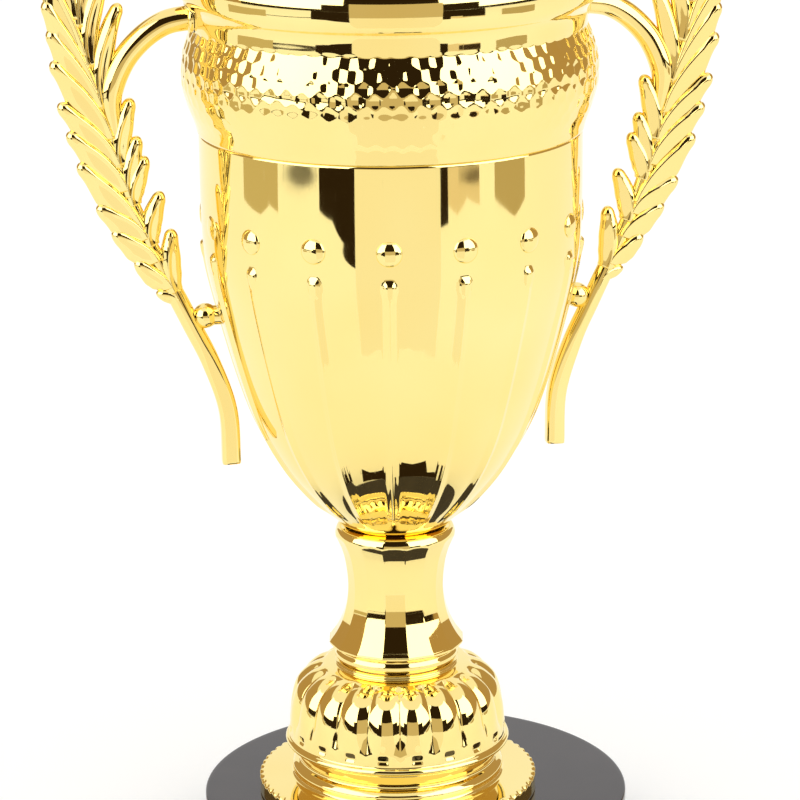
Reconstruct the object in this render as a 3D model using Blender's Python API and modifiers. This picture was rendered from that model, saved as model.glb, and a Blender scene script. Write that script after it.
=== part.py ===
"""Cup trophy on a round black plinth, modelled as the stack of mouldings that a tie rod clamps together.

Frame: metres, +Z up. The origin is on the axis of the gilt parts, at the level the pad stands on.
The two handles lie in the XZ plane. Heights in the profiles below are above the plinth's top face.
"""

import math

import bmesh
import bpy
from mathutils import Matrix, Vector

MM = 0.001

# ---------------------------------------------------------------- driving dimensions, millimetres
GAP = 0.3                     # clearance between pieces that touch
PLINTH_TOP = 18.0             # height of the plinth's top face above the table
PLINTH_RADIUS = 55.0
PLINTH_OFFSET = 4.7           # the plinth's centre lies this far towards +X of the gilt parts
PLINTH_WALL = 2.8
PAD_THICKNESS = 1.2
PAD_RADIUS = 54.4
BALLAST_OUTER = 50.0
BALLAST_INNER = 16.0
BALLAST_THICKNESS = 8.0

ROD_RADIUS = 2.45
ROD_HOLE = 2.85
ROD_BOTTOM = -12.6            # rod ends, from the plinth's top face
ROD_TOP = 82.0
NUT_RADIUS = 4.6              # across corners
NUT_HEIGHT = 4.0
ROD_WASHER_RADIUS = 5.5
ROD_WASHER_THICKNESS = 1.0

BOWL_WALL = 1.9
BOWL_FLOOR = 73.2             # upper face of the bowl's floor
BOWL_FOOT = 69.9              # underside of the bowl's floor
BEAD_COUNT = 16
BEAD_HEIGHT = 154.3
BEAD_RADIUS = 4.24            # radius of the sphere a bead is a cap of
BEAD_RISE = 1.4               # how far a bead stands out of the bowl
BEAD_BACK = 1.0               # depth of its flat back inside the bowl's wall
RIB_RADIUS = 0.7
RIB_TOP = 146.5
RIB_BOTTOM = 76.2

LOBE_COUNT = 20
LOBE_GROOVE_RADIUS = 1.5
STEM_FACETS = 16

HANDLE_TUBE = 2.3             # radius of the handle's stem
ARM_TUBE = 3.0                # radius of the arm to the collar
ARM_HEIGHT = 204.8            # level of the upper joint
BALL_HEIGHT = 129.8           # level of the lower joint
BALL_CENTRE = 47.6
BALL_RADIUS = 3.2
OUTER_LEAF_WIDTH = 6.4
INNER_LEAF_WIDTH = 4.8
LEAF_DEPTH = 4.8
LEAF_DROP = 0.22              # share of its width by which a blade lies below its crest line

SCREW_SHANK = 1.2
SCREW_LENGTH = 9.0
SCREW_HEAD_RADIUS = 2.9
SCREW_HEAD_THICKNESS = 1.8
WASHER_RADIUS = 3.4
WASHER_THICKNESS = 0.7
UPPER_WASHER_SEAT = 46.1      # |X| of the washer's outer face at the upper joint
LOWER_WASHER_SEAT = 40.6

ROUND_STEPS = 48
SMALL_STEPS = 16

# ---------------------------------------------------------------- outlines, (radius, height), top to bottom
BOWL_CURVE = [(47.8, 175.7), (47.7, 157.0), (46.9, 143.0), (43.4, 127.5), (39.2, 112.3),
              (35.0, 100.5), (29.2, 90.0), (22.9, 82.0), (17.0, 76.2), (13.2, 72.2)]
COLLAR_OUTER = [(53.6, 225.2), (54.4, 224.2), (53.8, 222.9), (51.0, 219.4), (50.7, 217.2), (51.4, 214.0),
                (51.6, 210.8), (50.9, 208.0), (49.5, 205.6), (48.9, 202.2), (51.3, 196.0), (51.9, 191.5),
                (51.5, 187.0), (49.6, 180.6), (48.1, 176.0)]
COLLAR_INNER = [(47.6, 176.0), (47.6, 184.3), (46.0, 184.3), (46.0, 186.0), (49.4, 189.0), (49.4, 195.0),
                (46.8, 200.8), (46.7, 205.6), (49.2, 210.4), (48.7, 217.2), (49.6, 221.2), (52.2, 225.2)]
STEM_OUTER = [(14.8, 71.9), (15.5, 69.3), (14.6, 67.5), (13.3, 63.2), (12.45, 58.5), (12.4, 54.5),
              (13.3, 49.5), (15.1, 45.4), (17.1, 41.3), (17.1, 40.2), (15.2, 39.6), (15.2, 36.3)]
STEM_INNER = [(13.2, 36.3), (13.2, 40.5), (11.3, 48.0), (10.3, 56.0), (10.9, 63.0), (11.8, 67.4),
              (ROD_HOLE, 67.4), (ROD_HOLE, 69.6), (13.6, 69.6), (14.0, 71.9)]
DOME_OUTER = [(ROD_HOLE, 36.0), (15.0, 36.0), (15.8, 35.4), (15.6, 34.9), (18.8, 34.6), (22.6, 32.9),
              (25.9, 29.6), (27.5, 24.8), (28.1, 19.0), (28.1, 15.2), (28.7, 14.5), (28.7, 13.5)]
DOME_INNER = [(26.4, 13.5), (26.2, 19.0), (25.4, 24.4), (23.6, 28.6), (20.8, 31.4), (17.4, 33.0),
              (ROD_HOLE, 33.6)]
PLATE_OUTER = [(ROD_HOLE, 13.2), (27.4, 13.2), (25.9, 10.8), (27.0, 8.0), (26.4, 6.3), (27.8, 5.1),
               (35.3, 4.7), (36.0, 4.0), (36.0, GAP)]
PLATE_INNER = [(34.2, GAP), (34.2, 3.0), (24.2, 3.0), (24.2, 11.4), (ROD_HOLE, 11.4)]

# Handle centre lines in the XZ plane, (X, height), for the handle on the +X side.
HANDLE_SPINE = [(41.9, 90.5), (42.5, 105.0), (46.4, 117.5), (51.0, 127.5), (55.0, 136.0), (59.0, 144.5),
                (63.0, 154.0), (66.8, 165.0), (70.0, 178.0), (73.5, 190.0), (76.6, 202.0), (77.3, 212.0),
                (76.3, 221.0), (74.0, 227.0)]
HANDLE_ARM = [(69.0, 176.0), (69.4, 188.5), (66.4, 194.6), (61.6, 200.2), (56.0, 203.8), (46.0, ARM_HEIGHT)]
# Leaves as (tip X, tip height, height where the leaf leaves the spine).
OUTER_LEAVES = [(59.8, 136.1, 130.0), (65.0, 144.3, 137.0), (70.4, 152.0, 143.0), (74.0, 158.6, 148.0),
                (78.2, 169.8, 153.0), (80.6, 177.6, 161.0), (82.5, 184.9, 168.0), (83.9, 195.4, 176.0),
                (84.3, 203.2, 184.0), (85.0, 210.4, 191.0), (84.6, 218.6, 199.0), (82.4, 226.0, 207.0)]
INNER_LEAVES = [(55.3, 152.5, 139.0), (57.5, 162.0, 149.0), (61.0, 171.0, 156.0), (62.9, 176.2, 160.0),
                (64.3, 185.7, 168.0), (66.6, 209.2, 184.0), (68.6, 219.5, 194.0), (69.8, 228.0, 204.0)]
TOP_LEAF = (75.0, 232.0, 214.0)


# ---------------------------------------------------------------- helpers
def clear_scene():
    for obj in list(bpy.data.objects):
        bpy.data.objects.remove(obj, do_unlink=True)


def new_collection(name):
    collection = bpy.data.collections.new(name)
    bpy.context.scene.collection.children.link(collection)
    return collection


def make_material(name, colour, metallic, roughness):
    material = bpy.data.materials.new(name)
    material.use_nodes = True
    shader = material.node_tree.nodes["Principled BSDF"]
    shader.inputs["Base Color"].default_value = (*colour, 1.0)
    shader.inputs["Metallic"].default_value = metallic
    shader.inputs["Roughness"].default_value = roughness
    return material


def link_object(name, mesh, material, collection):
    obj = bpy.data.objects.new(name, mesh)
    collection.objects.link(obj)
    if material is not None:
        mesh.materials.append(material)
    return obj


def as_cutter(obj):
    obj.hide_render = True
    obj.display_type = "WIRE"
    return obj


def spline_points(points, per_span):
    """Catmull-Rom curve through the points, with per_span steps between neighbours."""
    knots = [Vector(p) for p in points]
    knots = [2 * knots[0] - knots[1]] + knots + [2 * knots[-1] - knots[-2]]
    curve = []
    for i in range(1, len(knots) - 2):
        before, start, end, after = knots[i - 1:i + 3]
        for step in range(per_span):
            t = step / per_span
            linear = (end - before) * t
            square = (2 * before - 5 * start + 4 * end - after) * t ** 2
            cube = (3 * start - before - 3 * end + after) * t ** 3
            curve.append(0.5 * (2 * start + linear + square + cube))
    curve.append(knots[-2])
    return [tuple(p) for p in curve]


def radius_at(curve, height):
    """Radius of an outline that runs from top to bottom, at a height."""
    for (upper_r, upper_z), (lower_r, lower_z) in zip(curve, curve[1:]):
        if lower_z <= height <= upper_z:
            return lower_r + (upper_r - lower_r) * (height - lower_z) / (upper_z - lower_z)
    return curve[-1][0]


def offset_inwards(curve, distance):
    """Outline moved towards the axis side by a wall thickness, along its own normals."""
    moved = []
    for i, (radius, height) in enumerate(curve):
        ahead = curve[min(i + 1, len(curve) - 1)]
        behind = curve[max(i - 1, 0)]
        run = Vector((ahead[0] - behind[0], ahead[1] - behind[1])).normalized()
        moved.append((radius + run.y * distance, height - run.x * distance))
    return moved


def turned(name, outline, steps, material, collection, closed=True, centre=0.0, base=PLINTH_TOP):
    """Body of revolution: the outline runs down the outer side and back up the inner side."""
    mesh = bpy.data.meshes.new(name)
    points = [(r * MM, 0.0, z * MM) for r, z in outline]
    edges = [(i, i + 1) for i in range(len(points) - 1)]
    if closed:
        edges.append((len(points) - 1, 0))
    mesh.from_pydata(points, edges, [])
    obj = link_object(name, mesh, material, collection)
    obj.location = (centre * MM, 0.0, base * MM)
    screw = obj.modifiers.new("turn", "SCREW")
    screw.axis = "Z"
    screw.angle = 2 * math.pi
    screw.steps = steps
    screw.render_steps = steps
    screw.use_merge_vertices = True
    screw.merge_threshold = 0.00001
    screw.use_smooth_shade = True
    return obj


def cylinder(name, radius, start, end, material, collection, steps=SMALL_STEPS):
    """Solid cylinder between two points, in millimetres."""
    start, end = Vector(start) * MM, Vector(end) * MM
    axis = end - start
    mesh = bpy.data.meshes.new(name)
    shape = bmesh.new()
    bmesh.ops.create_cone(shape, cap_ends=True, segments=steps, radius1=radius * MM, radius2=radius * MM,
                          depth=axis.length)
    shape.to_mesh(mesh)
    shape.free()
    obj = link_object(name, mesh, material, collection)
    obj.location = (start + end) / 2
    obj.rotation_mode = "QUATERNION"
    obj.rotation_quaternion = Vector((0, 0, 1)).rotation_difference(axis)
    return obj


def add_boolean(obj, operand, operation="DIFFERENCE"):
    boolean = obj.modifiers.new(operation.lower(), "BOOLEAN")
    boolean.operation = operation
    boolean.solver = "EXACT"
    boolean.object = operand
    return boolean


def shade(obj, degrees=35):
    obj.data.shade_smooth()
    obj.data.set_sharp_from_angle(angle=math.radians(degrees))


def tube_mesh(points, radius, sides=8):
    """Closed tube mesh along points in metres: a bevelled poly curve with welded caps."""
    curve = bpy.data.curves.new("tube", "CURVE")
    curve.dimensions = "3D"
    curve.bevel_depth = radius
    curve.bevel_resolution = sides // 2 - 2
    curve.use_fill_caps = True
    spline = curve.splines.new("POLY")
    spline.points.add(len(points) - 1)
    for knot, point in zip(spline.points, points):
        knot.co = (*point, 1.0)
    holder = bpy.data.objects.new("tube", curve)
    bpy.context.scene.collection.objects.link(holder)
    bpy.context.view_layer.update()
    evaluated = holder.evaluated_get(bpy.context.evaluated_depsgraph_get())
    mesh = bpy.data.meshes.new_from_object(evaluated)
    bpy.data.objects.remove(holder, do_unlink=True)
    shape = bmesh.new()
    shape.from_mesh(mesh)
    bmesh.ops.remove_doubles(shape, verts=shape.verts, dist=0.00001)
    bmesh.ops.recalc_face_normals(shape, faces=shape.faces)
    shape.to_mesh(mesh)
    shape.free()
    return mesh


def add_ellipsoid(shape, centre, direction, half_length, half_width, half_depth, segments=6, rings=5):
    """Ellipsoid whose long axis follows direction in the XZ plane; the depth is along Y."""
    direction = direction.normalized()
    across = Vector((0, 1, 0)).cross(direction)
    turn = Matrix((across, Vector((0, 1, 0)), direction)).transposed().to_4x4()
    size = Matrix.Diagonal((half_width, half_depth, half_length, 1.0))
    bmesh.ops.create_uvsphere(shape, u_segments=segments, v_segments=rings, radius=1.0,
                              matrix=Matrix.Translation(centre) @ turn @ size)


# ---------------------------------------------------------------- base
def plinth_outline():
    top, bottom = 0.0, PAD_THICKNESS + GAP - PLINTH_TOP
    inner = PLINTH_RADIUS - PLINTH_WALL
    return [(0.0, top), (PLINTH_RADIUS - 0.8, top), (PLINTH_RADIUS, top - 0.8), (PLINTH_RADIUS, bottom),
            (inner, bottom), (inner, top - PLINTH_WALL), (0.0, top - PLINTH_WALL)]


def build_base(materials, parts, cutters):
    plinth = turned("plinth", plinth_outline(), ROUND_STEPS, materials["black_plastic"], parts,
                    closed=False, centre=PLINTH_OFFSET)
    hole = as_cutter(cylinder("plinth_hole", ROD_HOLE, (0, 0, 0), (0, 0, 2 * PLINTH_TOP), None, cutters))
    add_boolean(plinth, hole)

    top = -PLINTH_WALL - GAP
    low = top - BALLAST_THICKNESS
    ballast = [(BALLAST_INNER, top), (BALLAST_OUTER, top), (BALLAST_OUTER, low), (BALLAST_INNER, low)]
    turned("ballast_ring", ballast, ROUND_STEPS, materials["ballast"], parts, centre=PLINTH_OFFSET)
    cylinder("base_pad", PAD_RADIUS, (PLINTH_OFFSET, 0, 0), (PLINTH_OFFSET, 0, PAD_THICKNESS),
             materials["foam"], parts, steps=ROUND_STEPS)
    turned("base_plate", PLATE_OUTER + PLATE_INNER, ROUND_STEPS, materials["gilt_plastic"], parts)


# ---------------------------------------------------------------- dome and stem
def build_dome(materials, parts, cutters):
    dome = turned("fluted_dome", DOME_OUTER + DOME_INNER, 2 * LOBE_COUNT, materials["gilt_plastic"], parts)
    outline = DOME_OUTER[5:9]
    grooves = bmesh.new()
    for i in range(LOBE_COUNT):
        azimuth = 2 * math.pi * (i + 0.5) / LOBE_COUNT
        path = []
        for radius, height in outline:
            reach = (radius + 0.55 * LOBE_GROOVE_RADIUS) * MM
            path.append((reach * math.cos(azimuth), reach * math.sin(azimuth), (height + PLINTH_TOP) * MM))
        grooves.from_mesh(tube_mesh(path, LOBE_GROOVE_RADIUS * MM, sides=4))
    mesh = bpy.data.meshes.new("dome_grooves")
    grooves.to_mesh(mesh)
    grooves.free()
    add_boolean(dome, as_cutter(link_object("dome_grooves", mesh, None, cutters)))


def build_stem(materials, parts):
    stem = turned("stem", STEM_OUTER + STEM_INNER, STEM_FACETS, materials["gilt_plastic"], parts)
    stem.modifiers["turn"].use_smooth_shade = False


# ---------------------------------------------------------------- cup
def bowl_outline():
    step_radius = BOWL_CURVE[0][0] - 0.5
    inner = [p for p in offset_inwards(BOWL_CURVE, BOWL_WALL) if p[1] > BOWL_FLOOR + 1.2]
    rim_inner = inner[0][0]
    outer = [(step_radius, 184.0), (step_radius, BOWL_CURVE[0][1])] + BOWL_CURVE
    foot = [(12.9, BOWL_FOOT + 0.8), (12.9, BOWL_FOOT), (ROD_HOLE, BOWL_FOOT), (ROD_HOLE, BOWL_FLOOR),
            (8.0, BOWL_FLOOR)]
    return outer + foot + inner[::-1] + [(rim_inner, 184.0)]


def half_bead_mesh(surface, outwards):
    """Cap of a sphere whose back is cut flat inside the bowl's wall, so that it doesn't show through."""
    shape = bmesh.new()
    centre = surface + outwards * (BEAD_RISE - BEAD_RADIUS) * MM
    turn = outwards.to_track_quat("Z", "Y").to_matrix().to_4x4()
    bmesh.ops.create_uvsphere(shape, u_segments=8, v_segments=6, radius=BEAD_RADIUS * MM,
                              matrix=Matrix.Translation(centre) @ turn)
    everything = shape.verts[:] + shape.edges[:] + shape.faces[:]
    bmesh.ops.bisect_plane(shape, geom=everything, plane_co=surface - outwards * BEAD_BACK * MM,
                           plane_no=outwards, clear_inner=True)
    rim = [edge for edge in shape.edges if edge.is_boundary]
    bmesh.ops.contextual_create(shape, geom=rim)
    bmesh.ops.recalc_face_normals(shape, faces=shape.faces)
    mesh = bpy.data.meshes.new("bead")
    shape.to_mesh(mesh)
    shape.free()
    return mesh


def build_bowl_relief(collection):
    """Beads and ribs round the bowl, in one operand that the bowl is joined with."""
    relief = bmesh.new()
    bead_reach = radius_at(BOWL_CURVE, BEAD_HEIGHT) * MM
    rib_curve = [(radius_at(BOWL_CURVE, RIB_TOP), RIB_TOP)]
    rib_curve += [p for p in BOWL_CURVE if RIB_BOTTOM <= p[1] < RIB_TOP]
    for i in range(BEAD_COUNT):
        azimuth = 2 * math.pi * (i + 0.5) / BEAD_COUNT
        outwards = Vector((math.cos(azimuth), math.sin(azimuth), 0.0))
        surface = outwards * bead_reach + Vector((0, 0, (BEAD_HEIGHT + PLINTH_TOP) * MM))
        relief.from_mesh(half_bead_mesh(surface, outwards))
        path = [outwards * r * MM + Vector((0, 0, (z + PLINTH_TOP) * MM)) for r, z in rib_curve]
        relief.from_mesh(tube_mesh(path, RIB_RADIUS * MM, sides=4))
    mesh = bpy.data.meshes.new("bowl_relief")
    relief.to_mesh(mesh)
    relief.free()
    return as_cutter(link_object("bowl_relief", mesh, None, collection))


def build_cup(materials, parts, cutters):
    bowl = turned("cup_bowl", bowl_outline(), ROUND_STEPS, materials["gilt_plastic"], parts)
    add_boolean(bowl, build_bowl_relief(cutters), "UNION")
    collar = turned("rim_collar", COLLAR_OUTER + COLLAR_INNER, ROUND_STEPS, materials["gilt_plastic"], parts)
    for wall, height, name in ((bowl, BALL_HEIGHT, "lower_bore"), (collar, ARM_HEIGHT, "upper_bore")):
        level = height + PLINTH_TOP
        bore = cylinder(name, SCREW_SHANK + GAP, (-60, 0, level), (60, 0, level), None, cutters, steps=12)
        add_boolean(wall, as_cutter(bore))


# ---------------------------------------------------------------- handles
def spine_x(height):
    for (low_x, low_z), (high_x, high_z) in zip(HANDLE_SPINE, HANDLE_SPINE[1:]):
        if low_z <= height <= high_z:
            return low_x + (high_x - low_x) * (height - low_z) / (high_z - low_z)
    return HANDLE_SPINE[-1][0]


def handle_path(points, side, per_span):
    return [(side * x * MM, 0.0, (z + PLINTH_TOP) * MM) for x, z in spline_points(points, per_span)]


def add_leaf(shape, side, way, width, tip_x, tip_height, root_height):
    """Leaf from the spine to its tip; way is 1 where the crest lies to the left of that run, else -1."""
    tip = Vector((tip_x, 0, tip_height + PLINTH_TOP)) * MM
    root = Vector((spine_x(root_height), 0, root_height + PLINTH_TOP)) * MM
    run = (tip - root).normalized()
    crest_side = Vector((-run.z, 0, run.x)) * way
    centre = (tip + root) / 2 - crest_side * LEAF_DROP * width * MM
    centre.x *= side
    run.x *= side
    add_ellipsoid(shape, centre, run, (tip - root).length / 2, width / 2 * MM, LEAF_DEPTH / 2 * MM)


def handle_mesh(name, side):
    """All of a handle's overlapping shapes in one mesh; a self-union makes them one skin."""
    shape = bmesh.new()
    shape.from_mesh(tube_mesh(handle_path(HANDLE_SPINE, side, 1), HANDLE_TUBE * MM))
    shape.from_mesh(tube_mesh(handle_path(HANDLE_ARM, side, 1), ARM_TUBE * MM))
    ball = Vector((side * BALL_CENTRE, 0, BALL_HEIGHT + PLINTH_TOP)) * MM
    bmesh.ops.create_uvsphere(shape, u_segments=12, v_segments=8, radius=BALL_RADIUS * MM,
                              matrix=Matrix.Translation(ball))
    for leaf in OUTER_LEAVES + [TOP_LEAF]:
        add_leaf(shape, side, 1, OUTER_LEAF_WIDTH, *leaf)
    for leaf in INNER_LEAVES:
        add_leaf(shape, side, -1, INNER_LEAF_WIDTH, *leaf)
    mesh = bpy.data.meshes.new(name)
    shape.to_mesh(mesh)
    shape.free()
    return mesh


def build_handles(materials, parts, cutters):
    clearance_curve = [(r + GAP, z) for r, z in COLLAR_OUTER + BOWL_CURVE]
    outline = [(0.0, clearance_curve[0][1])] + clearance_curve + [(0.0, clearance_curve[-1][1])]
    clearance = as_cutter(turned("cup_clearance", outline, ROUND_STEPS, None, cutters, closed=False))
    for side, name in ((-1, "handle_left"), (1, "handle_right")):
        handle = link_object(name, handle_mesh(name, side), materials["gilt_plastic"], parts)
        seed = cylinder(name + "_boss", BALL_RADIUS - 0.7,
                        (side * 40.0, 0, BALL_HEIGHT + PLINTH_TOP),
                        (side * (BALL_CENTRE + 2.0), 0, BALL_HEIGHT + PLINTH_TOP), None, cutters, steps=12)
        join = add_boolean(handle, as_cutter(seed), "UNION")
        join.use_self = True
        add_boolean(handle, clearance)
        for height, depth, kind in ((ARM_HEIGHT, 55.4, "_upper_hole"), (BALL_HEIGHT, 50.2, "_lower_hole")):
            level = height + PLINTH_TOP
            hole = cylinder(name + kind, SCREW_SHANK + GAP, (side * 30, 0, level), (side * depth, 0, level),
                            None, cutters, steps=12)
            add_boolean(handle, as_cutter(hole))
        shade(handle, 50)


# ---------------------------------------------------------------- fasteners
def build_screws(materials, parts):
    joints = (("upper", ARM_HEIGHT, UPPER_WASHER_SEAT), ("lower", BALL_HEIGHT, LOWER_WASHER_SEAT))
    washer = [(SCREW_SHANK + GAP, WASHER_THICKNESS), (WASHER_RADIUS, WASHER_THICKNESS), (WASHER_RADIUS, 0.0),
              (SCREW_SHANK + GAP, 0.0)]
    head = SCREW_HEAD_THICKNESS
    screw = [(0.0, 0.0), (SCREW_HEAD_RADIUS * 0.6, -0.15), (SCREW_HEAD_RADIUS * 0.93, -0.7),
             (SCREW_HEAD_RADIUS, -head), (SCREW_SHANK, -head), (SCREW_SHANK, 1.2 - head - SCREW_LENGTH),
             (0.0, -head - SCREW_LENGTH)]
    for side, word in ((-1, "left"), (1, "right")):
        tilt = (0.0, side * math.pi / 2, 0.0)
        for joint, height, seat in joints:
            level = (height + PLINTH_TOP) * MM
            disc = turned(f"screw_washer_{word}_{joint}", washer, SMALL_STEPS, materials["zinc_steel"], parts)
            disc.rotation_euler = tilt
            disc.location = (side * (seat - WASHER_THICKNESS) * MM, 0.0, level)
            body = turned(f"handle_screw_{word}_{joint}", screw, SMALL_STEPS, materials["zinc_steel"], parts,
                          closed=False)
            body.rotation_euler = (0.0, -side * math.pi / 2, 0.0)
            body.location = (side * (seat - WASHER_THICKNESS - GAP - head) * MM, 0.0, level)


def build_tie_rod(materials, parts):
    steel = materials["zinc_steel"]
    chamfer = 0.6
    rod = [(0.0, ROD_TOP), (ROD_RADIUS - chamfer, ROD_TOP), (ROD_RADIUS, ROD_TOP - chamfer),
           (ROD_RADIUS, ROD_BOTTOM + chamfer), (ROD_RADIUS - chamfer, ROD_BOTTOM), (0.0, ROD_BOTTOM)]
    turned("tie_rod", rod, SMALL_STEPS, steel, parts, closed=False)
    stacks = (("top", BOWL_FLOOR + GAP, 1), ("bottom", -PLINTH_WALL - GAP, -1))
    for word, seat, way in stacks:
        far = seat + way * ROD_WASHER_THICKNESS
        nut_near = far + way * GAP
        nut_far = nut_near + way * NUT_HEIGHT
        washer = ring_outline(ROD_HOLE, ROD_WASHER_RADIUS, max(seat, far), min(seat, far))
        turned(f"rod_washer_{word}", washer, SMALL_STEPS, steel, parts)
        nut = ring_outline(ROD_HOLE, NUT_RADIUS, max(nut_near, nut_far), min(nut_near, nut_far))
        body = turned(f"rod_nut_{word}", nut, 6, steel, parts)
        body.modifiers["turn"].use_smooth_shade = False


def ring_outline(inner, outer, top, bottom):
    return [(inner, top), (outer, top), (outer, bottom), (inner, bottom)]


# ---------------------------------------------------------------- assembly
def main():
    clear_scene()
    parts = new_collection("cup_trophy")
    cutters = new_collection("cutters")
    materials = {
        "gilt_plastic": ((0.95, 0.66, 0.12), 1.0, 0.08),
        "black_plastic": ((0.02, 0.02, 0.022), 0.0, 0.25),
        "zinc_steel": ((0.62, 0.63, 0.65), 1.0, 0.35),
        "ballast": ((0.18, 0.17, 0.16), 0.8, 0.6),
        "foam": ((0.03, 0.03, 0.03), 0.0, 0.9),
    }
    for name, (colour, metallic, roughness) in materials.items():
        materials[name] = make_material(name, colour, metallic, roughness)
    build_base(materials, parts, cutters)
    build_dome(materials, parts, cutters)
    build_stem(materials, parts)
    build_cup(materials, parts, cutters)
    build_handles(materials, parts, cutters)
    build_screws(materials, parts)
    build_tie_rod(materials, parts)


main()
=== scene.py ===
"""Look of the gilt cup trophy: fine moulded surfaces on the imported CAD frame, in a white studio.

Shapes are built in millimetres, with heights above the plinth's top face. Skin.build turns them into metres.
"""

import math

import bpy
import numpy as np
from mathutils import Matrix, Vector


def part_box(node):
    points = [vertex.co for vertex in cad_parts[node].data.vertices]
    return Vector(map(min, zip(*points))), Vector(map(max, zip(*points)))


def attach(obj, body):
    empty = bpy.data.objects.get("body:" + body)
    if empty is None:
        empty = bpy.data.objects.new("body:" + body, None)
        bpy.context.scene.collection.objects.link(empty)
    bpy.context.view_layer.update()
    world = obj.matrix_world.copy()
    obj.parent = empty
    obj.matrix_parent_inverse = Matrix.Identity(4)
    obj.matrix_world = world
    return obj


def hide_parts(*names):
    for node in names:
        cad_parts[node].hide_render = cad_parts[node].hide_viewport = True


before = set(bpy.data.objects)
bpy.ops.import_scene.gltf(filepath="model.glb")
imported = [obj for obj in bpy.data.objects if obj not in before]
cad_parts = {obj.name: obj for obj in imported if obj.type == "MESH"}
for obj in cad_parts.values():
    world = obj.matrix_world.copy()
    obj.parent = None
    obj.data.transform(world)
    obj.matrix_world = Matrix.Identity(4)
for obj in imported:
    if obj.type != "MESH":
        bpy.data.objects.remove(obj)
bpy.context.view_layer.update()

MM = 0.001
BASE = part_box("plinth")[1].z / MM                       # the plinth's top face above the ground
PLINTH_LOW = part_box("plinth")[0] / MM
PLINTH_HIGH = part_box("plinth")[1] / MM
PLINTH_X = (PLINTH_LOW.x + PLINTH_HIGH.x) / 2
PLINTH_RADIUS = (PLINTH_HIGH.x - PLINTH_LOW.x) / 2
PAD_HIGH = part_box("base_pad")[1].z / MM - BASE
ROD_HOLE = 2.85

# ---------------------------------------------------------------- camera, in millimetres and radians
LENS = 159.1
SENSOR = 36.0
VIEW_AZIMUTH = math.radians(-10.45)
VIEW_PITCH = math.radians(15.93)
VIEW_TURN = math.radians(0.107)                         # how far the camera looks past the cup's axis
VIEW_ROLL = math.radians(0.6)
VIEW_DISTANCE = 863.8
VIEW_HEIGHT = 351.4

# ---------------------------------------------------------------- outlines, (radius, height), top to bottom
COLLAR_RIM = [(53.6, 225.2), (54.4, 224.3), (54.0, 223.0), (52.3, 221.2), (51.2, 219.6), (51.0, 217.6),
              (51.45, 215.2), (51.62, 213.0), (51.6, 211.0), (51.35, 209.4), (50.5, 208.0), (49.6, 206.9),
              (49.15, 205.9), (49.0, 204.8), (48.95, 203.5), (48.9, 202.2)]
COLLAR_BAND = [(48.9, 202.2), (50.1, 199.5), (51.4, 195.5), (51.9, 191.5), (51.6, 187.0), (50.2, 182.0),
               (48.7, 178.0), (48.15, 175.85)]
COLLAR_STEP = [(47.6, 175.85), (47.6, 184.3), (46.0, 184.3), (46.0, 186.0)]
COLLAR_INNER = [(49.2, 188.5), (49.8, 191.5), (49.3, 195.0), (47.9, 198.6), (46.8, 201.4), (46.7, 204.8),
                (47.4, 207.0), (48.8, 209.6), (49.3, 212.0), (48.9, 214.6), (48.6, 217.2), (49.0, 219.8),
                (50.4, 222.4), (52.2, 225.2)]
COLLAR_COLUMNS = 576
BAND_HIGH = 202.2
BAND_RADIUS = 50.5                                      # where the dimples are as wide as their spacing says
BAND_INSIDE = 47.9                                      # the dimples lie outside this radius
BAND_CELLS = 74                                         # dimples in each row round the band
BAND_ROW = 3.05                                         # spacing of the rows
DIMPLE_REACH = 6.8                                      # square of the distance at which a dimple ends

BOWL_CURVE = [(47.8, 175.7), (47.7, 157.0), (46.9, 143.0), (43.4, 127.5), (39.2, 112.3), (35.0, 100.5),
              (29.2, 90.0), (22.9, 82.0), (17.0, 76.2), (13.2, 72.2)]
BOWL_WALL = 1.9
BOWL_RIM = [(45.9, 184.0), (47.3, 184.0), (47.3, 175.7)]
BOWL_FOOT = [(12.9, 70.7), (12.9, 69.9), (ROD_HOLE, 69.9), (ROD_HOLE, 73.2), (8.0, 73.2)]
BOWL_FLOOR = 74.4                                       # height of the bowl's inner floor
BEAD_COUNT = 16
BEAD_HEIGHT = 154.3
BEAD_RADIUS = 3.15
BEAD_RISE = 1.35
HANDLE_BEAD_SHARE = 0.45                                # of the rise, for the beads next to the handles
BEAD_BACK = 1.0                                         # how deep a bead's back lies in the bowl's wall
TEAR_HEIGHT = 146.0
TEAR_HALF_WIDTH = 1.7
TEAR_HEAD, TEAR_TAIL = 1.5, 4.5                         # how far the drop reaches above and below its height
TEAR_RISE = 0.95
RIB_LOW = 74.5
RIB_HALF_WIDTH = 1.75
RIB_RISE = 0.50
RIB_LINE_RISE = 0.20
RIB_LINE_WIDTH = 0.26

STEM_LIP = [(13.2, 72.2), (14.6, 71.95), (15.2, 71.0), (15.5, 69.6), (15.45, 68.6), (15.3, 67.6),
            (15.2, 66.0), (15.2, 60.0)]
STEM_FLUTES = [(17.0, 72.2), (16.5, 71.6), (15.7, 70.0), (14.95, 68.5), (14.3, 67.0), (13.9, 66.0),
               (13.45, 64.5), (13.1, 63.0), (12.85, 61.5), (12.55, 59.0), (12.42, 55.5), (12.85, 51.3),
               (13.9, 47.3), (15.5, 43.9), (17.3, 41.4)]
STEM_FOOT = [(17.5, 41.2), (17.4, 40.6), (15.6, 40.1), (15.3, 39.2), (15.9, 38.2), (15.9, 37.2), (15.2, 36.3)]
STEM_INNER = [(13.2, 36.3), (13.2, 40.5), (11.3, 48.0), (10.3, 56.0), (10.9, 63.0), (11.8, 67.4),
              (ROD_HOLE, 67.4), (ROD_HOLE, 69.6), (13.0, 69.6)]
STEM_FACETS = 16
STEM_HIGH, STEM_LOW = 72.1, 41.2                        # the flutes' upper and lower ends
LIP_LOW = 64.0                                          # the round lip cuts the flutes above this height
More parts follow.
